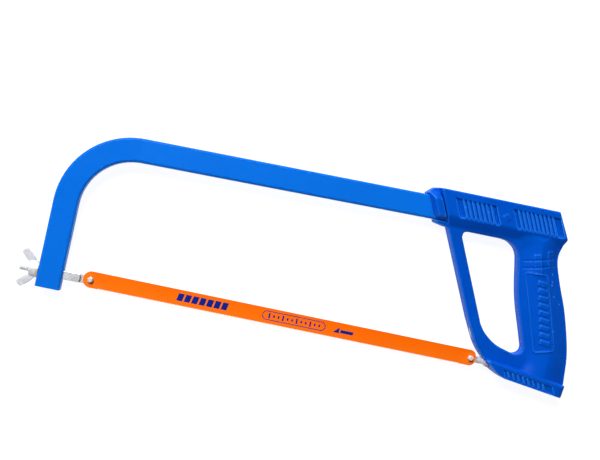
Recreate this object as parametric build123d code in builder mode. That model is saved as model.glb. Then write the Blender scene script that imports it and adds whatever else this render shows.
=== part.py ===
from build123d import *
import math
import os

os.makedirs("parts", exist_ok=True)

# A 12 inch hacksaw with a tube frame and a D handle, lying on its right side.
# +X runs along the blade from the nose to the handle, +Y from the blade to the spine, +Z is up.

# ---- driving dimensions, millimetres -------------------------------------------------------
HOLE_SPACING = 300.0        # blade hole to blade hole
BLADE_WIDTH = 12.4
BLADE_THICK = 0.64
TOOTH_PITCH = 25.4 / 24
TOOTH_DEPTH = 0.7
PIN_D = 3.9
BLADE_HOLE_D = 4.4
PIN_LEAN = 12.0             # the front pin leans forward, in degrees

TUBE_W = 18.2               # in the saw's plane
TUBE_T = 12.5               # across it
TUBE_WALL = 1.25
TUBE_CORNER = 1.8
LEG_X = -29.9               # centre line of the front leg
LEG_FOOT_Y = -11.5
SPINE_Y = 102.0             # centre line of the spine above the front hole
SPINE_RISE = 1.75           # degrees
BEND_R = 49.0
TUBE_END_X = 330.0

STUD_SIZE = 6.4             # square shank
STUD_PLAY = 0.1             # to the square holes in the leg, each side
THREAD_D = 5.9
THREAD_END_X = -53.0
SHANK_DROP = 0.6            # the shanks' axis lies this far below the blade holes
LAP_Z = -0.42               # flats that the blade lies on
FRONT_STEP_X = -8.4
HOLDER_D = 5.6
REAR_STEP_X = 304.9

HANDLE_T = 24.0             # handle's thickness, both shells
STRUT_T = 11.0
SLANT = 24.8                # lean of the collar, strut and rear edge, in degrees
PLATE_T = 2.5
PLATE_W = 5.6
SCREW_D = 3.5
SCREW_HEAD_D = 6.8
SCREW_HEAD_H = 2.4
SCREW_RECESS = 4.2          # depth of the screw recesses in the right shell
PILOT_DEPTH = 8.4           # depth of the screw holes in the left shell
RIVET_D = 4.0
RIVET_HEAD_D = 6.8
RIVET_HEAD_H = 1.6
EYE_HOLE_D = 3.2            # hole of the plate's eye
PIN_UNDER = 2.6             # the pins' length below the blade
PIN_OVER = 3.6              # and above it
WASHER_T = 1.5
WASHER_D = 12.4
HUB_D = 11.4                # wing nut's hub at the washer
HUB_TIP_D = 8.6
HUB_LENGTH = 5.6
WING_T = 2.0
FIT = 0.1                   # slack between pieces that are fixed together

# The origin is the middle of the saw's box, on the surface that it lies on.
ORIGIN_X = 162.4           # from the front blade hole
ORIGIN_Y = 55.5
HALF_T = HANDLE_T / 2
SIDE = Plane(origin=(-ORIGIN_X, -ORIGIN_Y, HALF_T))
RISE = math.tan(math.radians(SPINE_RISE))
LEAN = math.tan(math.radians(SLANT))


def spine_y(x):
    """Height of the spine's centre line above the blade holes."""
    return SPINE_Y + RISE * x


def axis_x_plane(x, y=-SHANK_DROP):
    """A plane across the blade's length, its normal towards the handle."""
    return Plane(origin=(x - ORIGIN_X, y - ORIGIN_Y, HALF_T), x_dir=(0, 1, 0), z_dir=(1, 0, 0))


def save(part, name):
    part.label = name
    export_step(part, f"parts/{name}.step")


# ---- tube frame ----------------------------------------------------------------------------
def tube_path():
    """Centre line of the tube from the leg's foot to the end inside the handle."""
    centre_x = LEG_X + BEND_R
    turn = 90 - SPINE_RISE
    with BuildLine(SIDE) as path:
        leg_top = spine_y(centre_x) - BEND_R / math.cos(math.radians(SPINE_RISE))
        leg = Line((LEG_X, LEG_FOOT_Y), (LEG_X, leg_top))
        bend = JernArc(start=leg @ 1, tangent=leg % 1, radius=BEND_R, arc_size=-turn)
        Line(bend @ 1, (TUBE_END_X, spine_y(TUBE_END_X)))
    return path


path = tube_path()
FOOT_PLANE = Plane(
    origin=(LEG_X - ORIGIN_X, LEG_FOOT_Y - ORIGIN_Y, HALF_T), x_dir=(1, 0, 0), z_dir=(0, 1, 0)
)
RIVET_X = (274.0, 308.0)
RIVET_PLACES = [(x, spine_y(x)) for x in RIVET_X]
SLOT_START_X = 258.0
SLOT_END_X = TUBE_END_X + 1.0

with BuildPart() as frame_tube:
    with BuildSketch(FOOT_PLANE):
        RectangleRounded(TUBE_W, TUBE_T, TUBE_CORNER)
        RectangleRounded(
            TUBE_W - 2 * TUBE_WALL, TUBE_T - 2 * TUBE_WALL, TUBE_CORNER - TUBE_WALL + 0.1, mode=Mode.SUBTRACT
        )
    sweep(path=path.wires()[0])
    # square hole for the stud, through both walls of the leg
    with BuildSketch(axis_x_plane(LEG_X)):
        Rectangle(STUD_SIZE + 2 * STUD_PLAY, STUD_SIZE + 2 * STUD_PLAY)
    extrude(amount=TUBE_W, both=True, mode=Mode.SUBTRACT)
    # slot in the lower wall for the plate's tab, open at the tube's end
    with BuildSketch(SIDE):
        with BuildLine():
            Polyline(
                (SLOT_START_X, spine_y(SLOT_START_X) - TUBE_W),
                (SLOT_END_X, spine_y(SLOT_END_X) - TUBE_W),
                (SLOT_END_X, spine_y(SLOT_END_X) - TUBE_W / 2 + TUBE_WALL + 1),
                (SLOT_START_X, spine_y(SLOT_START_X) - TUBE_W / 2 + TUBE_WALL + 1),
                close=True,
            )
        make_face()
    extrude(amount=PLATE_T / 2 + FIT, both=True, mode=Mode.SUBTRACT)
    # rivet holes
    with BuildSketch(SIDE):
        with Locations(RIVET_PLACES):
            Circle(RIVET_D / 2)
    extrude(amount=TUBE_T, both=True, mode=Mode.SUBTRACT)
save(frame_tube.part, "frame_tube")

PLUG_DEPTH = 6.0
PLUG_WALL = 1.5
PLUG_CAP_T = 0.8
BORE_W = TUBE_W - 2 * TUBE_WALL - 2 * FIT
BORE_T = TUBE_T - 2 * TUBE_WALL - 2 * FIT
with BuildPart() as leg_end_plug:
    with BuildSketch(FOOT_PLANE):
        RectangleRounded(BORE_W, BORE_T, 0.6)
    extrude(amount=PLUG_DEPTH)
    with BuildSketch(FOOT_PLANE):
        RectangleRounded(TUBE_W, TUBE_T, TUBE_CORNER)
    extrude(amount=-PLUG_CAP_T)
    with BuildSketch(FOOT_PLANE.offset(1.2)):
        RectangleRounded(BORE_W - 2 * PLUG_WALL, BORE_T - 2 * PLUG_WALL, 0.4)
    extrude(amount=PLUG_DEPTH, mode=Mode.SUBTRACT)
save(leg_end_plug.part, "leg_end_plug")


# ---- front tensioner -----------------------------------------------------------------------
lean = math.radians(PIN_LEAN)
PIN_PLANE = Plane(
    origin=(-ORIGIN_X, -ORIGIN_Y, HALF_T), x_dir=(0, 1, 0), z_dir=(-math.sin(lean), 0, math.cos(lean))
)
SQUARE_START_X = -37.4
SHANK_END_X = 5.4
LAP_LENGTH = 20.0
with BuildPart() as tension_stud:
    with BuildSketch(axis_x_plane(SQUARE_START_X)):
        RectangleRounded(STUD_SIZE, STUD_SIZE, 0.4)
    extrude(amount=SHANK_END_X - SQUARE_START_X)
    with BuildSketch(axis_x_plane(SQUARE_START_X)):
        Circle(THREAD_D / 2)
    extrude(amount=THREAD_END_X - SQUARE_START_X)
    chamfer(tension_stud.edges().sort_by(Axis.X)[0], 0.7)
    # half lap under the blade
    with BuildSketch(SIDE.offset(LAP_Z)):
        with Locations((FRONT_STEP_X + LAP_LENGTH / 2, -SHANK_DROP)):
            Rectangle(LAP_LENGTH, STUD_SIZE + 2)
    extrude(amount=STUD_SIZE, mode=Mode.SUBTRACT)
    # hole for the leaning pin
    with BuildSketch(PIN_PLANE):
        Circle(PIN_D / 2)
    extrude(amount=STUD_SIZE, both=True, mode=Mode.SUBTRACT)
save(tension_stud.part, "tension_stud")

with BuildPart() as front_blade_pin:
    with BuildSketch(PIN_PLANE.offset(-PIN_UNDER)):
        Circle(PIN_D / 2)
    extrude(amount=PIN_UNDER + PIN_OVER)
    chamfer(front_blade_pin.edges().sort_by(Axis.Z)[-1], 0.4)
save(front_blade_pin.part, "front_blade_pin")

LEG_FACE_X = LEG_X - TUBE_W / 2
with BuildPart() as nut_washer:
    with BuildSketch(axis_x_plane(LEG_FACE_X)):
        Circle(WASHER_D / 2)
        Circle(THREAD_D / 2 + 0.3, mode=Mode.SUBTRACT)
    extrude(amount=-WASHER_T)
save(nut_washer.part, "nut_washer")

# ---- wing nut ------------------------------------------------------------------------------
NUT_FACE_X = LEG_FACE_X - WASHER_T - 0.05
BORE_CLEARANCE = 0.08       # radial, to the stud
with BuildPart() as wing_nut:
    # conical hub
    with BuildSketch(axis_x_plane(NUT_FACE_X)):
        Circle(HUB_D / 2)
    with BuildSketch(axis_x_plane(NUT_FACE_X - HUB_LENGTH)):
        Circle(HUB_TIP_D / 2)
    loft()
    # two wings that sweep forward, away from the leg
    for side in (1, -1):
        with BuildSketch(SIDE.offset(-WING_T / 2)):
            with BuildLine():
                root = (NUT_FACE_X - 0.4, side * 2.0 - SHANK_DROP)
                heel = (NUT_FACE_X - 0.1, side * 5.4 - SHANK_DROP)
                bow = (NUT_FACE_X - 3.9, side * 10.4 - SHANK_DROP)
                tip = (NUT_FACE_X - 9.4, side * 14.7 - SHANK_DROP)
                crown = (NUT_FACE_X - 12.1, side * 12.6 - SHANK_DROP)
                corner = (NUT_FACE_X - 13.3, side * 9.4 - SHANK_DROP)
                neck = (NUT_FACE_X - 5.3, side * 4.2 - SHANK_DROP)
                neck_root = (NUT_FACE_X - 5.0, side * 2.0 - SHANK_DROP)
                Line(root, heel)
                ThreePointArc(heel, bow, tip)
                ThreePointArc(tip, crown, corner)
                Line(corner, neck)
                Line(neck, neck_root)
                Line(neck_root, root)
            make_face()
        extrude(amount=WING_T)
    with BuildSketch(axis_x_plane(NUT_FACE_X)):
        Circle(THREAD_D / 2 + BORE_CLEARANCE)
    extrude(amount=4 * HUB_LENGTH, both=True, mode=Mode.SUBTRACT)
save(wing_nut.part, "wing_nut")


# ---- blade ---------------------------------------------------------------------------------
def blade_outline():
    """The blade's side view: round nose, blunter rear end, teeth along the lower edge."""
    half = BLADE_WIDTH / 2
    rear_x = HOLE_SPACING + 4.3
    rear_r = 4.6
    first_x = 6.0
    count = int((HOLE_SPACING - 14) / TOOTH_PITCH)
    points = []
    for i in range(count):
        x = first_x + i * TOOTH_PITCH
        points.append((x, -half))
        points.append((x + 0.35 * TOOTH_PITCH, -half + TOOTH_DEPTH))
    last = (first_x + count * TOOTH_PITCH, -half)
    with BuildLine() as line:
        ThreePointArc((0, half), (-half, 0), (0, -half))
        Line((0, -half), points[0])
        Polyline(*points, last)
        Line(last, (rear_x - rear_r, -half))
        RadiusArc((rear_x - rear_r, -half), (rear_x, -half + rear_r), -rear_r)
        Line((rear_x, -half + rear_r), (rear_x, half - rear_r))
        RadiusArc((rear_x, half - rear_r), (rear_x - rear_r, half), -rear_r)
        Line((rear_x - rear_r, half), (0, half))
    return line


with BuildPart() as blade:
    with BuildSketch(SIDE.offset(-BLADE_THICK / 2)):
        with BuildLine():
            add(blade_outline())
        make_face()
        with Locations((0, 0), (HOLE_SPACING, 0)):
            Circle(BLADE_HOLE_D / 2, mode=Mode.SUBTRACT)
    extrude(amount=BLADE_THICK)
save(blade.part, "blade")

# ---- rear anchor inside the handle ---------------------------------------------------------
EYE = (314.5, -SHANK_DROP)


def strut_x(y):
    """Centre line of the handle's front strut."""
    return 267.0 + (90 - y) * LEAN


def plate_outline(grow=0.0):
    """Tab inside the tube, strip down the strut, eye at the rear blade holder."""
    half = PLATE_W / 2 + grow
    tab_half = TUBE_W / 2 - TUBE_WALL - 1.5 + grow
    side = half / math.cos(math.radians(SLANT))
    with BuildSketch(SIDE) as face:
        with BuildLine():
            Polyline(
                (262 - grow, spine_y(262) - tab_half),
                (262 - grow, spine_y(262) + tab_half),
                (318 + grow, spine_y(318) + tab_half),
                (318 + grow, spine_y(318) - tab_half),
                close=True,
            )
        make_face()
        with BuildLine():
            Polyline(
                (strut_x(106) - side, 106),
                (strut_x(106) + side, 106),
                (strut_x(20) + side, 20),
                (EYE[0] + half * 0.7, EYE[1] + half * 0.7),
                (EYE[0] - half * 0.7, EYE[1] - half * 0.7),
                (strut_x(20) - side, 18),
                close=True,
            )
        make_face()
        with Locations(EYE):
            Circle(4.0 + grow)
    return face.sketch


with BuildPart() as anchor_plate:
    add(plate_outline())
    extrude(amount=PLATE_T / 2, both=True)
    with BuildSketch(SIDE):
        with Locations(RIVET_PLACES):
            Circle(RIVET_D / 2)
        with Locations(EYE):
            Circle(EYE_HOLE_D / 2)
    extrude(amount=PLATE_T, both=True, mode=Mode.SUBTRACT)
save(anchor_plate.part, "anchor_plate")

with BuildPart() as anchor_rivets:
    with BuildSketch(SIDE):
        with Locations(RIVET_PLACES):
            Circle(RIVET_D / 2 - FIT / 2)
    extrude(amount=TUBE_T / 2 + 0.3, both=True)
    for level, height in ((TUBE_T / 2, RIVET_HEAD_H), (-TUBE_T / 2, -RIVET_HEAD_H)):
        with BuildSketch(SIDE.offset(level)):
            with Locations(RIVET_PLACES):
                Circle(RIVET_HEAD_D / 2)
        extrude(amount=height)
save(anchor_rivets.part, "anchor_rivets")

HOLDER_START_X = HOLE_SPACING - 5.0
HOLDER_END_X = EYE[0] + 4.6
FORK_LENGTH = 15.6
with BuildPart() as rear_blade_holder:
    with BuildSketch(axis_x_plane(HOLDER_START_X)):
        Circle(HOLDER_D / 2)
    extrude(amount=HOLDER_END_X - HOLDER_START_X)
    # half lap under the blade
    with BuildSketch(SIDE.offset(LAP_Z)):
        with Locations((REAR_STEP_X - LAP_LENGTH / 2, -SHANK_DROP)):
            Rectangle(LAP_LENGTH, HOLDER_D + 2)
    extrude(amount=HOLDER_D, mode=Mode.SUBTRACT)
    # fork over the plate's eye
    with BuildSketch(SIDE):
        with Locations((EYE[0] + 0.8, -SHANK_DROP)):
            Rectangle(FORK_LENGTH, HOLDER_D + 2)
    extrude(amount=PLATE_T / 2 + 0.05, both=True, mode=Mode.SUBTRACT)
    with BuildSketch(SIDE):
        with Locations(EYE):
            Circle(EYE_HOLE_D / 2)
        with Locations((HOLE_SPACING, 0)):
            Circle(PIN_D / 2)
    extrude(amount=HOLDER_D, both=True, mode=Mode.SUBTRACT)
save(rear_blade_holder.part, "rear_blade_holder")

with BuildPart() as rear_holder_rivet:
    with BuildSketch(SIDE):
        with Locations(EYE):
            Circle(EYE_HOLE_D / 2 - FIT / 2)
    extrude(amount=HOLDER_D / 2 - 0.5, both=True)
save(rear_holder_rivet.part, "rear_holder_rivet")

with BuildPart() as rear_blade_pin:
    with BuildSketch(SIDE.offset(-PIN_UNDER)):
        with Locations((HOLE_SPACING, 0)):
            Circle(PIN_D / 2)
    extrude(amount=PIN_UNDER + PIN_OVER)
    chamfer(rear_blade_pin.edges().sort_by(Axis.Z)[-1], 0.4)
save(rear_blade_pin.part, "rear_blade_pin")


# ---- handle --------------------------------------------------------------------------------
LIP_X = 241.2               # front lip of the collar, at the height 110
COLLAR_RUN = 3.9            # the collar's front slopes back by this much
COLLAR_DROP = 5.6           # over this much of its thickness


def slant_x(at_110, y):
    """X of a line that leans like the strut, from its X at the height 110."""
    return at_110 + (110 - y) * LEAN


def outer_outline():
    """Side view of the whole handle, without the finger opening."""
    with BuildLine() as line:
        Polyline(
            (slant_x(252.0, 96.3), 96.3),
            (247.6, 97.9),
            (slant_x(LIP_X, 101.2), 101.2),
            (slant_x(LIP_X, 120.0), 120.0),
            (241.3, 124.8),
            (249.5, 125.6),
            (343.4, 127.6),
            (354.9, 106.2),
        )
        Spline(
            (354.9, 106.2), (351.6, 91.5), (357.0, 74.0), (366.9, 50.0), (375.6, 20.0), (378.1, -4.0),
            tangents=((-0.2, -1), (-0.05, -1)),
        )
        Line((378.1, -4.0), (377.4, -16.6))
        Line((377.4, -16.6), (326.5, -9.9))
        Spline(
            (326.5, -9.9), (317.8, -5.4), (301.6, 9.8), (289.9, 30.0),
            tangents=((-1, 0.25), (-LEAN, 1)),
        )
        Line((289.9, 30.0), (slant_x(252.0, 96.3), 96.3))
    return line


def opening_outline():
    """The finger opening of the D handle."""
    with BuildLine() as line:
        Line((301.0, 28.2), (slant_x(262.9, 91.5), 91.5))
        ThreePointArc((slant_x(262.9, 91.5), 91.5), (272.2, 95.2), (275.6, 96.6))
        Line((275.6, 96.6), (304.0, 97.1))
        ThreePointArc((304.0, 97.1), (314.4, 93.4), (319.2, 86.5))
        Spline(
            (319.2, 86.5), (325.9, 55.0), (335.3, 28.0), (339.0, 17.6),
            tangents=((0.12, -1), (0.3, -1)),
        )
        ThreePointArc((339.0, 17.6), (337.6, 12.2), (331.9, 10.2))
        Spline(
            (331.9, 10.2), (316.8, 14.6), (306.4, 21.6), (301.0, 28.2),
            tangents=((-1, 0.02), (-LEAN, 1)),
        )
    return line


def side_face(outline):
    with BuildSketch(SIDE) as face:
        with BuildLine():
            add(outline)
        make_face()
    return face.sketch


BLOCK = [
    (slant_x(LIP_X, 101.2), 101.2), (slant_x(LIP_X, 120.0), 120.0), (241.3, 124.8), (249.5, 125.6),
    (343.4, 127.6), (354.6, 106.8), (350.5, 98.4), (304.0, 97.2), (258.8, 97.2), (247.6, 97.9),
]
FOOT = [
    (313.0, 2.3), (376.6, -6.0), (378.0, -6.2), (377.4, -16.6), (326.5, -9.9), (317.8, -5.4), (311.5, 0.6),
]
HEEL_CHAMFER = 3.5          # the foot's rear edge
GRIP_TOP = (337.0, 97.0)
GRIP_BOTTOM = (364.5, -3.0)
SCREW_PLACES = [(341.5, 114.0), (331.0, 86.0), (352.0, 38.0), (367.0, -6.0), (328.5, -2.6)]


def raised_body(points, side, radius, end, run, drop):
    """One half of the block or the foot. Its end edge is sloped, and the rest of its outer face rounded.

    end is 0 for the edge nearest the nose and -1 for the rearmost one.
    """
    outer = -1 if side > 0 else 0
    with BuildPart() as body:
        with BuildSketch(SIDE):
            with BuildLine():
                Polyline(*points, close=True)
            make_face()
        extrude(amount=side * HALF_T)
        face = body.faces().sort_by(Axis.Z)[outer]
        chamfer(face.edges().sort_by(Axis.X)[end], run, drop, reference=face)
        fillet(body.faces().sort_by(Axis.Z)[outer].edges(), radius)
    return body.part


def grip_plane():
    """Plane across the grip at its top end, its normal down along the grip."""
    along = (GRIP_BOTTOM[0] - GRIP_TOP[0], GRIP_BOTTOM[1] - GRIP_TOP[1], 0)
    return Plane(
        origin=(GRIP_TOP[0] - ORIGIN_X, GRIP_TOP[1] - ORIGIN_Y, HALF_T), x_dir=(0, 0, 1), z_dir=along
    )


GRIP_HALF_DEPTH = 21.0      # half of the oval's depth, before the side view trims it
GRIP_SKIN = 3.0
HOLLOW_START = 14.0         # along the grip from its top
HOLLOW_LENGTH = 78.0
HOLLOW_HALF_DEPTH = 14.0
PILLAR_D = 8.4
BLOCK_ROUND = 1.2
FOOT_ROUND = 1.2


def grip_body():
    """Oval bar along the grip; the handle's side view trims it."""
    with BuildPart() as bar:
        with BuildSketch(grip_plane()):
            Ellipse(HALF_T, GRIP_HALF_DEPTH)
        extrude(amount=math.dist(GRIP_TOP, GRIP_BOTTOM))
    return bar.part


def grip_hollow():
    """The room inside the grip."""
    with BuildPart() as room:
        with BuildSketch(grip_plane().offset(HOLLOW_START)):
            Ellipse(HALF_T - GRIP_SKIN, HOLLOW_HALF_DEPTH)
        extrude(amount=HOLLOW_LENGTH)
    return room.part


def tube_channel():
    """Side view of the room for the tube's end."""
    half = TUBE_W / 2 + FIT
    start_x = 230.0
    end_x = TUBE_END_X + 0.5
    with BuildSketch(SIDE) as face:
        with BuildLine():
            Polyline(
                (start_x, spine_y(start_x) - half),
                (start_x, spine_y(start_x) + half),
                (end_x, spine_y(end_x) + half),
                (end_x, spine_y(end_x) - half),
                close=True,
            )
        make_face()
    return face.sketch


def outer_half(side):
    """The handle's solid half: strut, grip, block and foot, with the finger opening cut."""
    outer = side_face(outer_outline())
    block = raised_body(BLOCK, side, BLOCK_ROUND, 0, COLLAR_RUN, COLLAR_DROP)
    foot = raised_body(FOOT, side, FOOT_ROUND, -1, HEEL_CHAMFER, HEEL_CHAMFER)
    with BuildPart() as half:
        add(outer)
        extrude(amount=side * STRUT_T / 2)
        add(grip_body())
        add(side_face(opening_outline()))
        extrude(amount=HANDLE_T, both=True, mode=Mode.SUBTRACT)
        add(outer)
        extrude(amount=HANDLE_T, both=True, mode=Mode.INTERSECT)
        add(block)
        add(foot)
        # keep one side of the saw's plane
        with BuildSketch(SIDE):
            with Locations((310, 55)):
                Rectangle(240, 220)
        extrude(amount=-side * HANDLE_T, mode=Mode.SUBTRACT)
        add(grip_hollow(), mode=Mode.SUBTRACT)
    return half.part


def one_shell(name, side):
    """side is 1 for the left shell, above the saw's plane, and -1 for the right shell."""
    with BuildPart() as shell:
        add(outer_half(side))
        # channel for the tube, with room for the rivet heads
        add(tube_channel())
        extrude(amount=side * (TUBE_T / 2 + FIT), mode=Mode.SUBTRACT)
        with BuildSketch(SIDE):
            with Locations(RIVET_PLACES):
                Circle(RIVET_HEAD_D / 2 + 0.4)
        extrude(amount=side * (TUBE_T / 2 + RIVET_HEAD_H + 0.3), mode=Mode.SUBTRACT)
        # slot for the plate, and the socket of the rear holder
        add(plate_outline(grow=0.3))
        extrude(amount=side * (PLATE_T / 2 + FIT), mode=Mode.SUBTRACT)
        with BuildSketch(axis_x_plane(HOLE_SPACING)):
            Circle(HOLDER_D / 2 + FIT)
        extrude(amount=HOLDER_END_X - HOLE_SPACING + 0.4, mode=Mode.SUBTRACT)
        # screw pillars in the hollow grip
        with BuildSketch(SIDE):
            with Locations(SCREW_PLACES[1], SCREW_PLACES[2]):
                Circle(PILLAR_D / 2)
        extrude(amount=side * (HALF_T - 2))
        # screw holes: pilots in the left shell, recessed clearance holes in the right one
        with BuildSketch(SIDE):
            with Locations(SCREW_PLACES):
                Circle(SCREW_D / 2 + FIT / 2)
        extrude(amount=side * (PILOT_DEPTH if side > 0 else HALF_T), mode=Mode.SUBTRACT)
        if side < 0:
            with BuildSketch(SIDE.offset(-HALF_T)):
                with Locations(SCREW_PLACES):
                    Circle(SCREW_HEAD_D / 2 + 0.3)
            extrude(amount=SCREW_RECESS, mode=Mode.SUBTRACT)
    save(shell.part, name)


one_shell("handle_left_shell", 1)
one_shell("handle_right_shell", -1)

SEAT_Z = SCREW_RECESS - HALF_T   # where the screw heads sit
with BuildPart() as handle_screws:
    with BuildSketch(SIDE.offset(SEAT_Z)):
        with Locations(SCREW_PLACES):
            Circle(SCREW_HEAD_D / 2)
    extrude(amount=-SCREW_HEAD_H)
    fillet(handle_screws.faces().group_by(Axis.Z)[0].edges(), 0.9)
    with BuildSketch(SIDE.offset(SEAT_Z)):
        with Locations(SCREW_PLACES):
            Circle(SCREW_D / 2)
    extrude(amount=PILOT_DEPTH - 0.4 - SEAT_Z)
    # cross recesses
    with BuildSketch(SIDE.offset(SEAT_Z - SCREW_HEAD_H)):
        with Locations(SCREW_PLACES):
            Rectangle(3.6, 0.8)
            Rectangle(0.8, 3.6)
    extrude(amount=1.3, mode=Mode.SUBTRACT)
save(handle_screws.part, "handle_screws")
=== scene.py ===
import math

import bmesh
import bpy
import numpy as np
from mathutils import Matrix, Vector


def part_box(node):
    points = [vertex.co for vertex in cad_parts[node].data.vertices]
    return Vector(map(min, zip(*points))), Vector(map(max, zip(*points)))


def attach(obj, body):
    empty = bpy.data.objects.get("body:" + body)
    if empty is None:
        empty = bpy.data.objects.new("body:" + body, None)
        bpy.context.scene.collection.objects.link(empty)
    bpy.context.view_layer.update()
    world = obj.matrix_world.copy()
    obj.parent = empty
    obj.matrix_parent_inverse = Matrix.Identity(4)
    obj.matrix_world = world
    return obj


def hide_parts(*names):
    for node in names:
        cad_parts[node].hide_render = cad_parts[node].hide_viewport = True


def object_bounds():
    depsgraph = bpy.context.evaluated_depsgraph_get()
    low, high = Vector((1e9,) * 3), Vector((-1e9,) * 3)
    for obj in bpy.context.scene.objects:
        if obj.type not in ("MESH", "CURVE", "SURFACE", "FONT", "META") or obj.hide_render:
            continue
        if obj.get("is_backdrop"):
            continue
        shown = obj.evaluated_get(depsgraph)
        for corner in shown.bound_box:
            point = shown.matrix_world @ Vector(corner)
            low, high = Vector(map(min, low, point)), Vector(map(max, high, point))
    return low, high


# Looks for a 12 inch hacksaw that lies on its right side.
# Blender objects are in metres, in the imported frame. The shapes are worked out in millimetres from the front
# blade hole, at the saw's mid-plane: x to the handle, y to the spine, z to the viewer.

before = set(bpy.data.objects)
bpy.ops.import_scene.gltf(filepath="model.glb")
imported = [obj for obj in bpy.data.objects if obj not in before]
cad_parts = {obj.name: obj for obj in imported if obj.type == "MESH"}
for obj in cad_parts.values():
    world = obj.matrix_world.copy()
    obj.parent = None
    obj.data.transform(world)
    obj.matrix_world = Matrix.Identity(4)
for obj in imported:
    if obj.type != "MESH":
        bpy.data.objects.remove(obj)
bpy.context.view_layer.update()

MM = 0.001
BLADE_LO, BLADE_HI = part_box("blade")
BLADE_HALF_W = (BLADE_HI.y - BLADE_LO.y) / 2 / MM
BLADE_HALF_T = (BLADE_HI.z - BLADE_LO.z) / 2 / MM
HOLE = Vector((
    BLADE_LO.x + BLADE_HALF_W * MM,
    (BLADE_LO.y + BLADE_HI.y) / 2,
    (BLADE_LO.z + BLADE_HI.z) / 2,
))

HALF_T = 12.0               # half of the handle's thickness
STRUT_HALF_T = 5.5
SLANT = math.radians(24.8)  # lean of the collar, the strut and the ribs
LEAN = math.tan(SLANT)
SLANT_Y = 110.0             # leaning lines are placed by their X at this height
SPINE_Y = 102.0             # the tube's middle line, which rises to the handle
RISE = math.tan(math.radians(1.75))
TUBE_HALF_W = 9.1
TUBE_HALF_T = 6.25
AXIS_Y = -0.6               # the shanks' axis below the blade holes
GRIP_TOP = np.array((337.0, 97.0))
GRIP_BOTTOM = np.array((364.5, -3.0))
SHELL_STEP = 0.5            # grids of the fields
NUT_STEP = 0.2
STUD_STEP = 0.16


def spine_y(x):
    return SPINE_Y + RISE * x


def slant_x(at_slant_y, y):
    """X at the height y of a line that leans like the strut."""
    return at_slant_y + (SLANT_Y - y) * LEAN


# ---- fields: distance to a surface, below zero inside ---------------------------------------------
def spline(points, per_span=8):
    """Points of a smooth line through the given ones."""
    p = np.array(points, float)
    p = np.vstack([2 * p[0] - p[1], p, 2 * p[-1] - p[-2]])
    out = []
    for i in range(1, len(p) - 2):
        for k in range(per_span):
            t = k / per_span
            a = 2 * p[i]
            b = p[i + 1] - p[i - 1]
            c = 2 * p[i - 1] - 5 * p[i] + 4 * p[i + 1] - p[i + 2]
            d = -p[i - 1] + 3 * p[i] - 3 * p[i + 1] + p[i + 2]
            out.append(0.5 * (a + b * t + c * t * t + d * t ** 3))
    out.append(p[-2])
    return [tuple(q) for q in out]


def polygon_field(points, x, y):
    """Exact signed distance to a closed polygon, at the grid points x, y."""
    p = np.array(points, float)
    q = np.roll(p, -1, axis=0)
    best = np.full(np.broadcast(x, y).shape, 1e9)
    sign = np.ones_like(best)
    for (ax, ay), (bx, by) in zip(p, q):
        ex, ey = bx - ax, by - ay
        wx, wy = x - ax, y - ay
        t = np.clip((wx * ex + wy * ey) / (ex * ex + ey * ey + 1e-12), 0, 1)
        dx, dy = wx - ex * t, wy - ey * t
        best = np.minimum(best, dx * dx + dy * dy)
        above_a, below_b, left = y >= ay, y < by, ex * wy > ey * wx
        crosses = (above_a & below_b & left) | (~above_a & ~below_b & ~left)
        sign = np.where(crosses, -sign, sign)
    return sign * np.sqrt(best)


def box_field(x, y, centre, half, angle=0.0, radius=0.0):
    """Signed distance to a turned rectangle with rounded corners."""
    c, s = math.cos(angle), math.sin(angle)
    u = np.abs((x - centre[0]) * c + (y - centre[1]) * s) - half[0] + radius
    v = np.abs(-(x - centre[0]) * s + (y - centre[1]) * c) - half[1] + radius
    return np.minimum(np.maximum(u, v), 0) + np.hypot(np.maximum(u, 0), np.maximum(v, 0)) - radius


def both(a, b, radius=0.0):
    """Intersection with a rounded edge."""
    if radius <= 0:
        return np.maximum(a, b)
    edge = np.hypot(np.maximum(a + radius, 0), np.maximum(b + radius, 0))
    return np.minimum(-radius, np.maximum(a, b)) + edge


def either(a, b, radius=0.0):
    """Union with a filleted corner."""
    if radius <= 0:
        return np.minimum(a, b)
    corner = np.hypot(np.maximum(radius - a, 0), np.maximum(radius - b, 0))
    return np.maximum(radius, np.minimum(a, b)) - corner


def without(a, b, radius=0.0):
    return both(a, -b, radius)


def smoothstep(a, b, v):
    t = np.clip((v - a) / (b - a), 0, 1)
    return t * t * (3 - 2 * t)


def grid_of(lo, hi, step):
    """Grid axes as arrays that broadcast, and the grid's first corner."""
    axes = [np.arange(a, b + step, step) for a, b in zip(lo, hi)]
    x, y, z = np.meshgrid(*axes, indexing="ij", sparse=True)
    return x, y, z, np.array([a[0] for a in axes])


def crossed_cells(field, inside):
    """For each cell, the sum of the places where its edges cross the surface, and how many of them do."""
    cells = tuple(n - 1 for n in field.shape)
    total = np.zeros(cells + (3,), np.float32)
    count = np.zeros(cells, np.float32)
    for axis in range(3):
        others = [k for k in range(3) if k != axis]
        for du in (0, 1):
            for dv in (0, 1):
                start = [0, 0, 0]
                start[others[0]], start[others[1]] = du, dv
                near = tuple(slice(start[k], start[k] + cells[k]) for k in range(3))
                end = list(start)
                end[axis] += 1
                far = tuple(slice(end[k], end[k] + cells[k]) for k in range(3))
                a, b = field[near], field[far]
                crossed = inside[near] != inside[far]
                t = np.where(crossed, a / np.where(crossed, a - b, 1), 0)
                count += crossed
                total[..., axis] += t
                total[..., others[0]] += du * crossed
                total[..., others[1]] += dv * crossed
    return total, count


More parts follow.
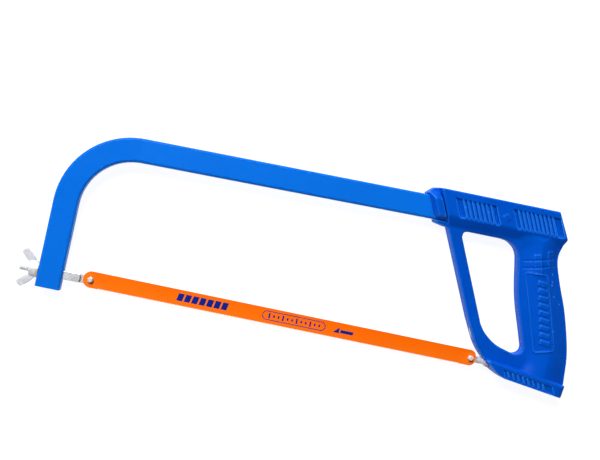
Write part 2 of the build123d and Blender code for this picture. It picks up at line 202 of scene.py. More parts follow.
def crossed_edge_quads(inside, index):
    """A quad round each grid edge that crosses the surface, with its face outward."""
    quads = []
    for axis in range(3):
        u, v = [k for k in range(3) if k != axis]
        lo = tuple(slice(0, -1) if k == axis else slice(1, -1) for k in range(3))
        hi = tuple(slice(1, None) if k == axis else slice(1, -1) for k in range(3))
        change = inside[lo].astype(np.int8) - inside[hi].astype(np.int8)
        for sign in (1, -1):
            at = np.argwhere(change == sign)
            at[:, u] += 1
            at[:, v] += 1
            ring = []
            for du, dv in ((-1, -1), (0, -1), (0, 0), (-1, 0)):
                c = at.copy()
                c[:, u] += du
                c[:, v] += dv
                ring.append(index[c[:, 0], c[:, 1], c[:, 2]])
            outward = sign if axis != 1 else -sign
            quads.append(np.stack(ring if outward > 0 else ring[::-1], axis=1))
    return np.concatenate(quads)


def surface_nets(field, origin, step):
    """Vertices and quads of the zero level, with one vertex in each cell that the surface crosses."""
    inside = field < 0
    total, count = crossed_cells(field, inside)
    active = count > 0
    index = np.full(count.shape, -1, np.int64)
    index[active] = np.arange(active.sum())
    corner = np.argwhere(active)
    verts = (corner + total[active] / count[active][:, None]) * step + origin
    return verts, crossed_edge_quads(inside, index)


def sample(volume, origin, step, points):
    """Values of a grid at free points, by trilinear interpolation."""
    p = (points - origin) / step
    base = np.clip(np.floor(p).astype(int), 0, np.array(volume.shape[:3]) - 2)
    f = p - base
    out = 0
    for dx in (0, 1):
        for dy in (0, 1):
            for dz in (0, 1):
                w = np.abs(1 - dx - f[:, 0]) * np.abs(1 - dy - f[:, 1]) * np.abs(1 - dz - f[:, 2])
                v = volume[base[:, 0] + dx, base[:, 1] + dy, base[:, 2] + dz]
                out = out + v * w[:, None]
    return out


def to_row(points):
    """From millimetres at the front blade hole to the frame's metres."""
    return np.asarray(points, float) * MM + np.array(HOLE)


def mesh_object(name, verts, faces, material):
    """Smooth mesh object from arrays of points and of faces with equal corner counts."""
    mesh = bpy.data.meshes.new(name)
    verts = np.asarray(verts, np.float32)
    faces = np.asarray(faces, np.int64)
    mesh.vertices.add(len(verts))
    mesh.vertices.foreach_set("co", verts.ravel())
    corners = faces.shape[1]
    mesh.loops.add(faces.size)
    mesh.loops.foreach_set("vertex_index", faces.ravel().astype(np.int32))
    mesh.polygons.add(len(faces))
    mesh.polygons.foreach_set("loop_start", np.arange(0, faces.size, corners, dtype=np.int32))
    mesh.update(calc_edges=True)
    mesh.validate()
    mesh.shade_smooth()
    mesh.materials.append(material)
    obj = bpy.data.objects.new(name, mesh)
    bpy.context.scene.collection.objects.link(obj)
    return obj


def clear_slivers(mesh, least=0.00004):
    """Removes the slivers and folds that thinning leaves, with sides shorter than least, in metres."""
    bm = bmesh.new()
    bm.from_mesh(mesh)
    bmesh.ops.dissolve_degenerate(bm, dist=least, edges=bm.edges)
    bmesh.ops.triangulate(bm, faces=[f for f in bm.faces if len(f.verts) > 3])
    bm.to_mesh(mesh)
    bm.free()


def thin_out(obj, keep):
    """Collapses the flat parts of a mesh until the share keep of its faces is left."""
    thin = obj.modifiers.new("thin", "DECIMATE")
    thin.ratio = keep
    thin.use_collapse_triangulate = True
    evaluated = obj.evaluated_get(bpy.context.evaluated_depsgraph_get())
    mesh = bpy.data.meshes.new_from_object(evaluated)
    obj.modifiers.clear()
    old = obj.data
    obj.data = mesh
    bpy.data.meshes.remove(old)
    mesh.name = obj.name
    clear_slivers(mesh)
    mesh.shade_smooth()


def vertex_places(mesh):
    places = np.zeros(len(mesh.vertices) * 3, np.float32)
    mesh.vertices.foreach_get("co", places)
    return places.reshape(-1, 3)


def field_object(name, field, origin, step, material, keep):
    """Meshes a field, thins it, and takes smooth normals from the field's slope."""
    verts, quads = surface_nets(field, origin, step)
    obj = mesh_object(name, to_row(verts), quads, material)
    thin_out(obj, keep)
    mesh = obj.data
    points = (vertex_places(mesh) - np.array(HOLE)) / MM
    slope = np.stack(np.gradient(field, step), axis=-1).astype(np.float32)
    normal = sample(slope, origin, step, points)
    normal /= np.linalg.norm(normal, axis=1)[:, None] + 1e-9
    mesh.normals_split_custom_set_from_vertices([tuple(n) for n in normal])
    return obj


# ---- materials ------------------------------------------------------------------------------------
# noise scales are cells per metre, and bump distances are metres
def linear(r, g, b):
    """Linear colour from 0 to 255 display values."""
    def one(v):
        v = v / 255
        return v / 12.92 if v <= 0.04045 else ((v + 0.055) / 1.055) ** 2.4
    return (one(r), one(g), one(b), 1.0)


class Nodes:
    """Short calls for a material's node tree."""

    def __init__(self, name, roughness, metallic=0.0, specular=0.5):
        self.material = bpy.data.materials.new(name)
        self.material.use_nodes = True
        self.tree = self.material.node_tree
        self.shader = self.tree.nodes["Principled BSDF"]
        self.shader.inputs["Roughness"].default_value = roughness
        self.shader.inputs["Metallic"].default_value = metallic
        self.shader.inputs["Specular IOR Level"].default_value = specular
        self.coords = self.tree.nodes.new("ShaderNodeTexCoord").outputs["Object"]

    def node(self, kind, inputs=(), **settings):
        n = self.tree.nodes.new(kind)
        for key, value in settings.items():
            setattr(n, key, value)
        for key, value in dict(inputs).items():
            if hasattr(value, "is_output"):
                self.tree.links.new(value, n.inputs[key])
            else:
                n.inputs[key].default_value = value
        return n

    def noise(self, scale, detail=3.0):
        made = self.node("ShaderNodeTexNoise", {"Vector": self.coords, "Scale": scale, "Detail": detail})
        return made.outputs[0]

    def ramp(self, value, low, high, to_low=0.0, to_high=1.0):
        return self.node("ShaderNodeMapRange", {
            "Value": value, "From Min": low, "From Max": high, "To Min": to_low, "To Max": to_high,
        }).outputs[0]

    def mix(self, factor, a, b):
        n = self.node("ShaderNodeMix", data_type="RGBA")
        for key, value in ((0, factor), (6, a), (7, b)):
            if hasattr(value, "is_output"):
                self.tree.links.new(value, n.inputs[key])
            else:
                n.inputs[key].default_value = value
        return n.outputs[2]

    def math(self, kind, a, b=0.0):
        return self.node("ShaderNodeMath", {0: a, 1: b}, operation=kind).outputs[0]

    def edges(self, low, high):
        """0 on flats and 1 on outward edges: pointiness is 0.5 on flats and rises on edges."""
        found = self.node("ShaderNodeNewGeometry").outputs["Pointiness"]
        return self.ramp(found, low, high)

    def bump(self, height, distance, strength=1.0, normal=None):
        inputs = {"Height": height, "Distance": distance, "Strength": strength}
        if normal is not None:
            inputs["Normal"] = normal
        return self.node("ShaderNodeBump", inputs).outputs[0]

    def set(self, key, value):
        if hasattr(value, "is_output"):
            self.tree.links.new(value, self.shader.inputs[key])
        else:
            self.shader.inputs[key].default_value = value


def moulded_plastic(name, base, dark, light):
    """Moulded plastic: cloudy colour, a painted highlight that mixes the edges towards the colour light, fine
    grain over slow waves.
    """
    m = Nodes(name, roughness=0.34, specular=0.04)
    cloud = m.ramp(m.noise(28.0, 4.0), 0.35, 0.65)
    colour = m.mix(m.math("MULTIPLY", cloud, 0.5), base, dark)
    # painted highlight: the outward edges are mixed towards the light colour
    painted_edge_highlight = m.math("MULTIPLY", m.edges(0.514, 0.56), 0.7)
    m.set("Base Color", m.mix(painted_edge_highlight, colour, light))
    m.set("Roughness", m.ramp(m.noise(140.0, 3.0), 0.3, 0.7, 0.3, 0.42))
    grain = m.bump(m.noise(2600.0, 2.0), 0.00003, 0.5)
    m.set("Normal", m.bump(m.noise(90.0, 2.0), 0.00012, 0.35, grain))
    return m.material


def painted_metal(name, base, dark, light, roughness=0.36):
    """Sprayed paint: cloudy colour, a painted highlight that mixes the edges towards the colour light, slight
    orange peel.
    """
    m = Nodes(name, roughness=roughness, specular=0.05)
    cloud = m.ramp(m.noise(20.0, 4.0), 0.35, 0.65)
    colour = m.mix(m.math("MULTIPLY", cloud, 0.4), base, dark)
    # painted highlight: the outward edges are mixed towards the light colour
    thin = m.math("MULTIPLY", m.edges(0.53, 0.62), 0.3)
    m.set("Base Color", m.mix(thin, colour, light))
    m.set("Roughness", m.ramp(m.noise(200.0, 3.0), 0.3, 0.7, roughness - 0.06, roughness + 0.08))
    m.set("Normal", m.bump(m.noise(900.0, 2.0), 0.00004, 0.35))
    return m.material


def plated_steel(name, base, dark, roughness=0.24):
    """Dull zinc: patchy grey, patchy gloss and tiny pits."""
    m = Nodes(name, roughness=roughness, metallic=0.25)
    cloud = m.ramp(m.noise(160.0, 4.0), 0.35, 0.7)
    m.set("Base Color", m.mix(cloud, base, dark))
    m.set("Roughness", m.ramp(m.noise(420.0, 4.0), 0.3, 0.7, roughness - 0.08, roughness + 0.14))
    m.set("Normal", m.bump(m.noise(1500.0, 3.0), 0.00002, 0.3))
    return m.material


def printed_ink(name, base, dark):
    """Flat ink that is worn in patches."""
    m = Nodes(name, roughness=0.5, specular=0.1)
    worn = m.ramp(m.noise(700.0, 4.0), 0.4, 0.7)
    m.set("Base Color", m.mix(worn, base, dark))
    m.set("Normal", m.bump(m.noise(3000.0, 2.0), 0.00001, 0.4))
    return m.material


# the third colour of the handle, tube and blade paints is the colour of their painted edge highlight
HANDLE_BLUE = moulded_plastic(
    "handle_plastic", linear(0, 82, 198), linear(0, 70, 180), linear(50, 150, 255))
TUBE_BLUE = painted_metal("tube_paint", linear(0, 106, 216), linear(0, 98, 206), linear(20, 116, 225))
BLADE_ORANGE = painted_metal(
    "blade_paint", linear(255, 108, 0), linear(253, 98, 0), linear(255, 140, 40), roughness=0.42)
STEEL = plated_steel("plated_steel", linear(238, 239, 242), linear(205, 206, 210))
CAST_STEEL = plated_steel("cast_wing_nut", linear(238, 239, 242), linear(206, 207, 210), roughness=0.34)
WASHER_STEEL = plated_steel("washer_steel", linear(226, 222, 205), linear(190, 186, 170), roughness=0.36)
INK = printed_ink("blade_ink", linear(4, 30, 132), linear(14, 36, 120))
SCREW_STEEL = plated_steel("screw_steel", linear(196, 198, 204), linear(120, 122, 128), roughness=0.3)


# ---- handle ---------------------------------------------------------------------------------------
# Outlines are side views, in millimetres. Where a corner lies on a leaning line, slant_x gives its X.
LIP_X = 241.2               # the collar's front lip, and the crest of its slope, at the height SLANT_Y
CREST_X = 245.1
LIP_Z = 6.4
COLLAR_REAR_X = 251.1
BLOCK_FRONT_X = 252.3
FACE_Z = HALF_T - 0.5       # the block's face
RIB_Z = HALF_T - 0.5
PANEL_Z = HALF_T - 2.6      # floor of the block's ribbed panels
FOOT_FACE_Z = HALF_T - 0.1
FOOT_PANEL_Z = HALF_T - 1.4
FOOT_RIB_Z = HALF_T - 0.4
FOOT_Y = SLANT_Y - 50.0 / LEAN   # the foot's leaning lines are placed by their X at this height


def outer_points():
    """The whole handle's outline."""
    rear = spline([
        (354.9, 106.2), (351.6, 91.5), (357.0, 74.0), (366.9, 50.0), (375.6, 20.0), (378.1, -4.0),
    ])
    heel = spline([(326.5, -9.9), (317.8, -5.4), (301.6, 9.8), (289.9, 30.0)])
    front = [
        (slant_x(252.0, 96.3), 96.3), (255.9, 96.4), (247.6, 97.9),
        (slant_x(LIP_X, 101.2), 101.2),
        (slant_x(LIP_X, 120.0), 120.0), (241.3, 124.8), (245.5, 125.5), (249.5, 125.6),
        (343.4, 127.6),
    ]
    heel_corner = [(378.0, -13.6), (377.1, -15.6), (375.2, -16.3)]
    return front + rear + heel_corner + heel


def opening_points():
    """The finger opening's outline."""
    right = spline([(319.2, 86.5), (325.9, 55.0), (335.3, 28.0), (339.0, 17.6)])
    corner = spline([(339.0, 17.6), (338.9, 14.6), (337.2, 12.0), (334.6, 10.6), (331.9, 10.2)])
    low = spline([(331.9, 10.2), (316.8, 14.6), (306.4, 21.6), (301.0, 28.2)])
    left_top = slant_x(262.9, 91.5)
    top = spline([(left_top, 91.5), (271.6, 93.5), (272.3, 95.4), (275.6, 96.6)])
    arc = spline([(304.0, 97.1), (309.5, 96.2), (314.4, 93.4), (317.4, 90.2), (319.2, 86.5)])
    return right + corner[1:] + low[1:] + top + arc[:-1]


def grip_points():
    """The grip's own side view: it runs on under the block and the foot."""
    left = spline([
        (300.0, 118.0), (309.0, 101.0), (315.8, 93.4), (319.2, 86.5), (325.9, 55.0),
        (335.3, 28.0), (339.6, 15.5), (341.0, 8.0), (338.6, 1.5), (332.0, -14.0),
    ])
    right = spline([
        (382.0, -30.0), (378.1, -4.0), (375.6, 20.0), (366.9, 50.0),
        (357.0, 74.0), (351.9, 91.5), (354.9, 104.0), (358.0, 120.0),
    ])
    return left + right


BLOCK_FLAT = [
    (slant_x(BLOCK_FRONT_X, 125.4), 125.4), (343.0, 127.6), (354.0, 107.0), (352.6, 101.8), (352.0, 95.0),
    (slant_x(BLOCK_FRONT_X, 95.0), 95.0),
]
COLLAR = [
    (slant_x(LIP_X, 101.2), 101.2), (slant_x(LIP_X, 120.0), 120.0), (241.3, 124.8), (244.4, 125.7),
    (slant_x(COLLAR_REAR_X, 125.6), 125.6), (slant_x(COLLAR_REAR_X, 96.4), 96.4), (247.6, 97.9),
]
FOOT = [
    (312.4, 2.2), (376.6, -6.0), (378.0, -6.2), (377.4, -16.6),
    (326.5, -9.9), (317.8, -5.4), (311.0, 1.0),
]
# the block's ribbed panels: ends, lower and upper edge, and the first rib, count and pitch of the ribs
RIB_PANELS = (
    (262.6, 295.6, 107.0, 119.8, 268.6, 7, 3.8),
    (310.4, 349.4, 108.1, 121.2, 314.4, 9, 3.56),
)
# the grip's section, its beaded panel inside the panel's rounding, and the row of bars on it
GRIP_DEPTH = 19.9           # from the outline to the middle of the grip
GRIP_POWER = 1.75           # of the grip's section: 2 is an ellipse, and less is nearer to a wedge
CREST_Z = HALF_T - 1.0
PANEL_ROUND = 2.0
GRIP_PANEL = [(329.2, 73.4), (342.4, 74.2), (359.4, 20.8), (348.2, 17.2)]
BARS_TOP = np.array((341.2, 69.0))
BARS_BOTTOM = np.array((353.0, 24.0))
BAR_COUNT = 9
# the belt at the grip's top: grooves by distance along the grip, pads by centre and half size
BELT_GROOVES = (9.2, 15.0)
BELT_PADS = (((13.0, -6.4), (8.2, 2.8)), ((9.6, 4.6), (6.6, 2.6)))
FOOT_REAR = [(200.0, 60.0), (378.2, 60.0), (378.0, -6.0), (376.6, -16.6), (376.2, -60.0), (200.0, -60.0)]


def prism(shape, z, height, radius):
    """A side view raised to a height above the mid-plane, with a rounded top edge."""
    return both(shape, z - height, radius)


def rib_field(x, y, first, count, pitch, low, high, half):
    """A row of ribs that lean like the strut: first is the first rib's X at the height SLANT_Y."""
    best = np.full(np.broadcast(x, y).shape, 1e9)
    for i in range(count):
        line = first + i * pitch
        across = np.abs(x - line - (SLANT_Y - y) * LEAN) * math.cos(SLANT) - half
        along = np.maximum(y - high, low - y)
        best = np.minimum(best, np.maximum(across, along))
    return best


def leaning_panel(x, y, left, right, low, high):
    """Field of a panel whose ends lean like the strut: left and right are X at the height SLANT_Y."""
    across_l = (left + (SLANT_Y - y) * LEAN - x) * math.cos(SLANT)
    across_r = (x - right - (SLANT_Y - y) * LEAN) * math.cos(SLANT)
    return np.maximum(np.maximum(across_l, across_r), np.maximum(low - y, y - high))


def grip_frame(x, y):
    """Distance along the grip from its top, and across it towards its back."""
    axis = (GRIP_BOTTOM - GRIP_TOP) / np.linalg.norm(GRIP_BOTTOM - GRIP_TOP)
    side = np.array((-axis[1], axis[0]))
    px, py = x - GRIP_TOP[0], y - GRIP_TOP[1]
    return px * axis[0] + py * axis[1], px * side[0] + py * side[1]


def ribbed_panel(x, y, z, left, right, low, high, first, count, pitch):
    """What a ribbed panel takes out of the block: its long sides slope, and its ribs stay standing."""
    rise = 0.02 * (x - left)
    low_edge = low + rise - 0.7 * (z - PANEL_Z)
    high_edge = high - 0.8 + rise + 0.6 * (z - PANEL_Z)
    panel = leaning_panel(x, y, left, right, low_edge, high_edge)
    ribs = rib_field(x, y, first, count, pitch, low_edge, high_edge + 2.0, 0.95)
    recess = both(panel, PANEL_Z - z, 0.3)
    return without(recess, prism(ribs, z, RIB_Z, 0.4))


def block_field(x, y, z):
    """Top block with its lower bevel, its two ribbed panels and the plain raised square between them."""
    bevel_y, bevel_rise, bevel_slope = 105.2, 0.018, 0.76
    line = bevel_y + bevel_rise * (x - 256.0)
    bevel = (z - HALF_T + 0.7 - (y - line) * bevel_slope) * 0.8
    body = prism(polygon_field(BLOCK_FLAT, x, y), z, FACE_Z, 1.6)
    body = both(body, bevel, 1.0)
    for panel in RIB_PANELS:
        body = without(body, ribbed_panel(x, y, z, *panel), 0.25)
    square = box_field(x, y, (301.0, 113.6), (2.6, 2.6), math.radians(45), 0.6)
    return either(body, prism(square, z, HALF_T - 0.1, 0.3), 0.2)


def collar_field(x, y, z):
    """The handle's collar: a raised band that slopes down to the tube in front, above and below."""
    ring = prism(polygon_field(COLLAR, x, y), z, HALF_T, 0.7)
    run, rise = CREST_X - LIP_X, HALF_T - LIP_Z
    # 0.96 because the front's plane leans in the side view too
    front = ((LIP_X - x + (SLANT_Y - y) * LEAN) * rise + (z - LIP_Z) * run) / math.hypot(run, rise) * 0.96
    ring = both(ring, front, 0.5)
    top_y, top_run = 121.6, 4.9
    above = ((y - top_y) * rise + (z - LIP_Z) * top_run) / math.hypot(rise, top_run)
    ring = both(ring, above, 0.6)
    low_y, low_run = 101.4, 2.6
    below = ((low_y - y) * rise + (z - LIP_Z) * low_run) / math.hypot(rise, low_run)
    return both(ring, below, 0.6)


def grip_relief(x, y):
    """Height of the grip's raised and sunk marks: a beaded panel, plain bars, grooves and pads."""
    panel = polygon_field(GRIP_PANEL, x, y) - PANEL_ROUND
    relief = 0.6 * np.exp(-(panel / 0.6) ** 2)
    bars = np.full(panel.shape, 1e9)
    for i in range(BAR_COUNT):
        centre = BARS_TOP + (BARS_BOTTOM - BARS_TOP) * i / (BAR_COUNT - 1)
        bars = np.minimum(bars, box_field(x, y, centre, (4.0, 1.9), math.radians(-5), 0.8))
    relief = relief + 0.9 * smoothstep(0.5, -0.5, bars)
    along, across = grip_frame(x, y)
    for place in BELT_GROOVES:
        groove = np.abs(along - place) - 0.7
        relief = relief - 0.55 * smoothstep(0.35, -0.35, groove)
    pads = np.full(panel.shape, 1e9)
    for centre, half in BELT_PADS:
        pads = np.minimum(pads, box_field(along, across, centre, half, 0.0, 0.8))
    return relief + 0.7 * smoothstep(0.4, -0.4, pads)


def grip_field(x, y, z):
    """Rounded grip with its relief, kept below the handle's flat side."""
    outline = polygon_field(grip_points(), x, y)
    rest = 1 - np.clip(-outline, 0, GRIP_DEPTH) / GRIP_DEPTH
    height = CREST_Z * np.maximum(1 - rest ** GRIP_POWER, 0) ** (1 / GRIP_POWER)
    height = np.minimum(height + grip_relief(x, y), HALF_T - 0.1)
    # the height over the side view, divided by its slope, is about a distance
    steepest = 5.0
    gx, gy = np.gradient(height[..., 0], SHELL_STEP)
    slope = np.sqrt(1 + np.minimum(gx ** 2 + gy ** 2, steepest ** 2))[..., None]
    return np.maximum(outline, (z - height) / slope)


def foot_field(x, y, z):
    """Foot with a lit step along its top, a rounded rear and a ribbed panel."""
    body = prism(polygon_field(FOOT, x, y), z, FOOT_FACE_Z, 0.8)
    body = both(body, prism(polygon_field(FOOT_REAR, x, y), z, FOOT_FACE_Z, 5.0))
    step_line = 2.2 - 0.1277 * (x - 312.4)
    chamfer = (y - step_line + z - HALF_T + 1.3) * 0.7
    body = both(body, chamfer, 0.3)
    drop = -0.1345
    top = -2.9 + drop * (x - 326.5)
    low = -7.9 + drop * (x - 326.5) - 0.9 * (z - FOOT_PANEL_Z)
    # the panel's ends and its ribs lean like the strut, and are placed by their X at the height FOOT_Y
    left, right, first, count, pitch = 322.8, 361.4, 325.9, 8, 4.02
    shift = (SLANT_Y - FOOT_Y) * LEAN
    panel = leaning_panel(x, y, left - shift, right - shift, low, top)
    ribs = rib_field(x, y, first - shift, count, pitch, low, top - 0.3, 1.0)
    recess = both(panel, FOOT_PANEL_Z - z, 0.2)
    recess = without(recess, prism(ribs, z, FOOT_RIB_Z, 0.45))
    return without(body, recess, 0.2)


def tube_room(x, y, z):
    """Room for the tube, with a lead-in at the collar's mouth."""
    gap, lead, end_x = 0.2, 0.8, 331.0
    mouth = 0.5 * np.clip(slant_x(LIP_X, y) + lead - x, 0, lead)
    room_y = np.abs(y - spine_y(x)) - TUBE_HALF_W - gap
    room = np.maximum(room_y - mouth, z - TUBE_HALF_T - gap - mouth)
    return np.maximum(room, x - end_x)


def handle_field():
    """Field of half a handle, its grid's first corner and its axes: z is the distance from the mid-plane."""
    lo, hi = (235.0, -18.5, -1.25), (380.5, 129.5, 13.25)
    x, y, z, origin = grid_of(lo, hi, SHELL_STEP)
    outer = polygon_field(outer_points(), x, y)
    opening = polygon_field(opening_points(), x, y)
    web = prism(np.maximum(outer, -opening), z, STRUT_HALF_T, 1.3)
    body = either(web, np.maximum(grip_field(x, y, z), outer), 1.6)
    body = either(body, block_field(x, y, z), 0.8)
    body = either(body, collar_field(x, y, z), 0.3)
    body = either(body, foot_field(x, y, z), 0.5)
    body = both(np.maximum(body, -opening), outer, 0.8)
    body = without(body, tube_room(x, y, z), 0.3)
    holder_r, holder_end_x = 2.95, 319.6
    holder = np.maximum(np.hypot(y - AXIS_Y, z) - holder_r, x - holder_end_x)
    return without(body, holder, 0.2), origin, (x, y, z)


SCREW_HEAD_R = 3.75
SCREW_HEAD_DEPTH = 4.25
SCREW_HOLE_R = 1.8
SCREWS = [(341.5, 114.0), (331.0, 86.0), (352.0, 38.0), (367.0, -6.0), (328.5, -2.6)]


def half_shell(name, body, z, origin):
    half = both(body, -z).astype(np.float32)
    return field_object(name, half, origin, SHELL_STEP, HANDLE_BLUE, keep=0.75)


def handle_shells():
    """The two half shells: the right one has the screws' recesses, and is mirrored in the mid-plane."""
    body, origin, (x, y, z) = handle_field()
    left = half_shell("handle_shell_left", body, z, origin)
    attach(left, "frame")
    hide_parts("handle_left_shell")
    for place in SCREWS:
        from_axis = np.hypot(x - place[0], y - place[1])
        recess = np.maximum(from_axis - SCREW_HEAD_R, HALF_T - SCREW_HEAD_DEPTH - z)
        body = without(body, recess, 0.3)
        body = without(body, from_axis - SCREW_HOLE_R)
    right = half_shell("handle_shell_right", body, z, origin)
    flip(right)
    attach(right, "frame")
    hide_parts("handle_right_shell")


def flip(obj):
    """Mirrors a piece in the saw's mid-plane, keeping its smooth normals."""
    mesh = obj.data
    normals = np.zeros(len(mesh.loops) * 3, np.float32)
    mesh.corner_normals.foreach_get("vector", normals)
    corner_vertex = np.zeros(len(mesh.loops), np.int32)
    mesh.loops.foreach_get("vertex_index", corner_vertex)
    per_vertex = np.zeros((len(mesh.vertices), 3), np.float32)
    per_vertex[corner_vertex] = normals.reshape(-1, 3) * (1, 1, -1)
    places = vertex_places(mesh)
    places[:, 2] = 2 * HOLE.z - places[:, 2]
    mesh.vertices.foreach_set("co", places.ravel())
    mesh.flip_normals()
    mesh.update()
    mesh.normals_split_custom_set_from_vertices([tuple(n) for n in per_vertex])


# ---- front tensioner ------------------------------------------------------------------------------
NUT_FACE_X = -40.55
NUT_LENGTH = 5.6
HUB_R = 5.7                 # of the hub at its face, and its taper for each millimetre
HUB_TAPER = 0.235
BORE_R = 3.03
THREAD_R = 2.93
THREAD_DEPTH = 0.55
THREAD_PITCH = 1.0
THREAD_X = (-53.0, -37.0)   # its two ends
SHANK_X = (-37.4, 5.4)      # the square shank's two ends
SHANK_HALF = 3.2
LAP_X = -8.4                # the half lap under the blade: where it starts, and its face
LAP_Z = -0.42
PIN_R = 1.95
PIN_LEAN = math.radians(12.0)


def wing_points(side):
    """Outline of one wing, from the nut's face along X and from its axis."""
    outer_edge = spline([(-0.1, 5.4), (-3.9, 10.4), (-9.4, 14.7)])
    end_edge = spline([(-9.4, 14.7), (-12.1, 12.9), (-13.2, 9.4)])
    points = [(-0.4, 2.0), (-0.1, 5.4)] + outer_edge + end_edge + [(-5.3, 4.2), (-5.0, 2.0)]
    return [(NUT_FACE_X + along, side * out) for along, out in points]


def wing_nut():
    """Cast wing nut: conical hub, two flat wings that sweep forward, rounded edges."""
    lo, hi = (-54.6, -16.2, -6.6), (-39.8, 15.2, 6.6)
    x, y, z, origin = grid_of(lo, hi, NUT_STEP)
    v = y - AXIS_Y
    radius = np.hypot(v, z)
    hub_r = HUB_R + (x - NUT_FACE_X) * HUB_TAPER
    body = both((radius - hub_r) * 0.97, x - NUT_FACE_X, 0.4)
    body = both(body, NUT_FACE_X - NUT_LENGTH - x, 0.7)
    for side in (1, -1):
        shape = polygon_field(wing_points(side), x, v)
        thick = np.abs(z) - (0.72 + 0.28 * smoothstep(3.0, 12.0, np.abs(v)))
        body = either(body, both(shape, thick, 0.45), 0.9)
    body = without(body, radius - BORE_R)
    from_middle = np.abs(x - NUT_FACE_X + NUT_LENGTH / 2)
    lead = radius - 3.5 - np.maximum(from_middle - NUT_LENGTH / 2, -0.5)
    body = without(body, lead, 0.1)
    field = np.broadcast_to(body, np.broadcast(x, y, z).shape).astype(np.float32)
    nut = field_object("wing_nut_cast", field, origin, NUT_STEP, CAST_STEEL, keep=0.6)
    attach(nut, "wing_nut")
    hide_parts("wing_nut")


def thread_field(x, v, z):
    """Threaded rod with a real helix, a pointed end and a run-out to the shank."""
    start, end = THREAD_X
    core_r, run_out = 2.6, smoothstep(end - 2.0, end - 1.0, x)
    radius = np.hypot(v, z)
    phase = (x / THREAD_PITCH + np.arctan2(z, v) / (2 * math.pi)) % 1.0
    crest_r = THREAD_R - THREAD_DEPTH * smoothstep(0.15, 0.9, np.abs(phase - 0.5) * 2)
    thread_r = crest_r * (1 - run_out) + core_r * run_out
    thread = np.maximum((radius - thread_r) * 0.7, x - end)
    thread = np.maximum(thread, start - x)
    point = (radius - 2.95 - (x - start) + 0.75) * 0.7
    return np.maximum(thread, point)


def stud():
    """Square shank with its half lap under the blade, and its threaded end."""
    lo, hi = (-53.6, -4.2, -3.6), (6.0, 3.0, 3.6)
    x, y, z, origin = grid_of(lo, hi, STUD_STEP)
    v = y - AXIS_Y
    square = both(np.abs(v) - SHANK_HALF, np.abs(z) - SHANK_HALF, 0.45)
    square = both(square, x - SHANK_X[1], 0.3)
    square = both(square, SHANK_X[0] - x, 0.3)
    body = either(square, thread_field(x, v, z), 0.2)
    lap = np.maximum(LAP_Z - z, LAP_X - x)
    body = without(body, lap, 0.1)
    pin = np.hypot((x + z * math.tan(PIN_LEAN)) * math.cos(PIN_LEAN), y) - PIN_R
    body = without(body, pin)
    field = np.broadcast_to(body, np.broadcast(x, y, z).shape).astype(np.float32)
    made = field_object("tension_stud_threaded", field, origin, STUD_STEP, STEEL, keep=0.5)
    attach(made, "tensioner")
    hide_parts("tension_stud")


# ---- blade print ----------------------------------------------------------------------------------
def flat_shapes(name, outlines, thickness=0.02):
    """Thin printed shapes on the blade's face, each from its closed outline."""
    level = BLADE_HALF_T
    verts, faces = [], []
    for outline in outlines:
        first = len(verts)
        n = len(outline)
        verts += [(px, py, level + thickness) for px, py in outline]
        verts += [(px, py, level) for px, py in outline]
        faces.append(tuple(range(first, first + n)))
        faces.append(tuple(range(first + 2 * n - 1, first + n - 1, -1)))
        for i in range(n):
            k = (i + 1) % n
            faces.append((first + i, first + n + i, first + n + k, first + k))
    mesh = bpy.data.meshes.new(name)
    mesh.from_pydata([tuple(p) for p in to_row(verts)], [], faces)
    mesh.validate()
    mesh.materials.append(INK)
    obj = bpy.data.objects.new(name, mesh)
    bpy.context.scene.collection.objects.link(obj)
    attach(obj, "blade")


def slanted_bar(x, y0, y1, width, lean=0.0):
    """Outline of a bar whose upper edge is shifted by lean."""
    return [(x, y0), (x + width, y0), (x + width + lean, y1), (x + lean, y1)]


def capsule_strips(x0, x1, y0, y1, cut, line):
    """Outline of a box with cut corners, as strips of the width line that lie inside it."""
    ring = [
        (x0 + cut, y0), (x1 - cut, y0), (x1, y0 + cut), (x1, y1 - cut),
        (x1 - cut, y1), (x0 + cut, y1), (x0, y1 - cut), (x0, y0 + cut),
    ]
    strips = []
    for (ax, ay), (bx, by) in zip(ring, ring[1:] + ring[:1]):
        size = math.hypot(bx - ax, by - ay)
        nx = (by - ay) / size * line
        ny = -(bx - ax) / size * line
        strips.append([(ax, ay), (bx, by), (bx - nx, by - ny), (ax - nx, ay - ny)])
    return strips


def blade_print():
    """Generic print: a row of slanted blocks, a capsule with tick bars, and an arrow to the nose."""
    block_x, block_pitch, block_count = 65.0, 5.72, 7
    blocks = [slanted_bar(block_x + i * block_pitch, -2.3, 3.4, 4.4, 1.1) for i in range(block_count)]
    flat_shapes("blade_print_blocks", blocks)

    strips = capsule_strips(131.5, 181.5, -3.0, 4.1, 2.2, 0.55)
    tick_x, tick_y, tick_pitch, tick_count = 136.4, 0.5, 3.6, 12
    for i in range(tick_count):
        half = 1.0 if i % 3 else 2.0
        strips.append(slanted_bar(tick_x + i * tick_pitch, tick_y - half, tick_y + half, 1.3))
    flat_shapes("blade_print_scale", strips)

    head = [(188.0, -1.9), (192.8, 2.5), (192.8, -1.9)]
    flat_shapes("blade_print_arrow", [head, slanted_bar(193.6, -1.6, 0.8, 10.2, 0.4)])


# ---- carried-over CAD nodes -----------------------------------------------------------------------
def paint(node, material):
    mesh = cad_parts[node].data
    mesh.materials.clear()
    mesh.materials.append(material)


def paint_cad_nodes():
    for node in ("frame_tube", "leg_end_plug"):
        paint(node, TUBE_BLUE)
    paint("blade", BLADE_ORANGE)
    paint("nut_washer", WASHER_STEEL)
    for node in ("front_blade_pin", "rear_blade_pin", "rear_blade_holder", "rear_holder_rivet"):
        paint(node, STEEL)
    for node in ("handle_screws", "anchor_plate", "anchor_rivets"):
        paint(node, SCREW_STEEL)


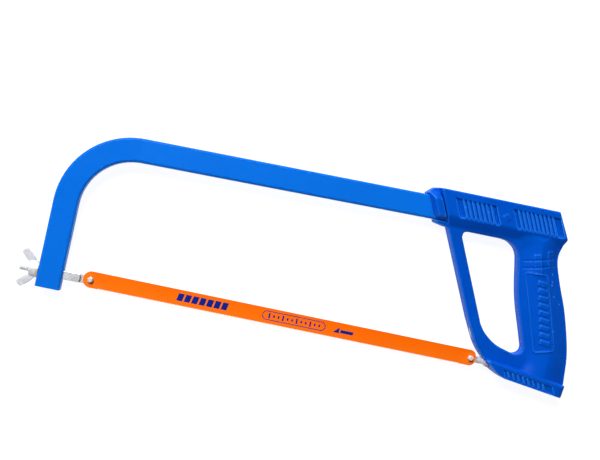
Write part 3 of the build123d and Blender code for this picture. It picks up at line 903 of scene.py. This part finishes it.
# ---- stage ----------------------------------------------------------------------------------------
def floor():
    """Plain pale paper that glows a little, so that it stays white."""
    half, gap = 2.5, 0.0002
    mesh = bpy.data.meshes.new("floor")
    corners = [(-half, -half, 0), (half, -half, 0), (half, half, 0), (-half, half, 0)]
    mesh.from_pydata(corners, [], [(0, 1, 2, 3)])
    m = Nodes("floor_paper", roughness=0.95, specular=0.1)
    m.set("Base Color", m.mix(m.noise(3.0), linear(140, 140, 141), linear(136, 136, 138)))
    m.set("Emission Color", (1.0, 1.0, 1.0, 1.0))
    m.set("Emission Strength", 0.92)
    mesh.materials.append(m.material)
    obj = bpy.data.objects.new("floor", mesh)
    bpy.context.scene.collection.objects.link(obj)
    obj.location.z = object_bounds()[0].z - gap
    obj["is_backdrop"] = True


def area_light(name, place, size, power):
    """Soft lamp that points at the middle of the saw."""
    light = bpy.data.lights.new(name, "AREA")
    light.shape = "RECTANGLE"
    light.size, light.size_y = size
    light.energy = power
    obj = bpy.data.objects.new(name, light)
    obj.location = place
    obj.rotation_mode = "QUATERNION"
    obj.rotation_quaternion = (-Vector(place)).to_track_quat("-Z", "Y")
    bpy.context.scene.collection.objects.link(obj)


def lights():
    world = bpy.data.worlds.new("studio")
    world.use_nodes = True
    background = world.node_tree.nodes["Background"]
    background.inputs["Color"].default_value = (0.97, 0.98, 1.0, 1.0)
    background.inputs["Strength"].default_value = 0.1
    bpy.context.scene.world = world
    area_light("key", (-0.5, 0.75, 1.3), (0.6, 0.5), 25.0)
    area_light("top", (-0.4, 1.9, 0.5), (1.0, 0.35), 20.0)
    area_light("left", (-2.1, -0.26, 0.62), (0.35, 0.8), 8.0)


def camera():
    """The photo's camera, turned by roll, pitch and yaw: offset is the front blade hole in its own axes."""
    yaw, pitch, roll = -0.120825, 0.001958, 0.215655
    offset = Vector((-0.156566, 0.037202, 0.675179))
    cy, sy = math.cos(yaw), math.sin(yaw)
    cp, sp = math.cos(pitch), math.sin(pitch)
    cr, sr = math.cos(roll), math.sin(roll)
    turn_roll = Matrix(((cr, -sr, 0), (sr, cr, 0), (0, 0, 1)))
    turn_pitch = Matrix(((1, 0, 0), (0, cp, -sp), (0, sp, cp)))
    turn_yaw = Matrix(((cy, 0, sy), (0, 1, 0), (-sy, 0, cy)))
    # those axes have Y down and Z forward, so both are turned round
    swap = Matrix.Diagonal((1, -1, -1))
    turned_back = (swap @ turn_roll @ turn_pitch @ turn_yaw @ swap).transposed()
    data = bpy.data.cameras.new("camera")
    data.lens = 54.0
    data.sensor_width = 36.0
    data.clip_start, data.clip_end = 0.01, 20.0
    obj = bpy.data.objects.new("camera", data)
    obj.matrix_world = Matrix.Translation(HOLE - turned_back @ (swap @ offset)) @ turned_back.to_4x4()
    bpy.context.scene.collection.objects.link(obj)
    bpy.context.scene.camera = obj


paint_cad_nodes()
handle_shells()
wing_nut()
stud()
blade_print()
floor()
lights()
camera()
bpy.context.scene.view_settings.view_transform = "Standard"
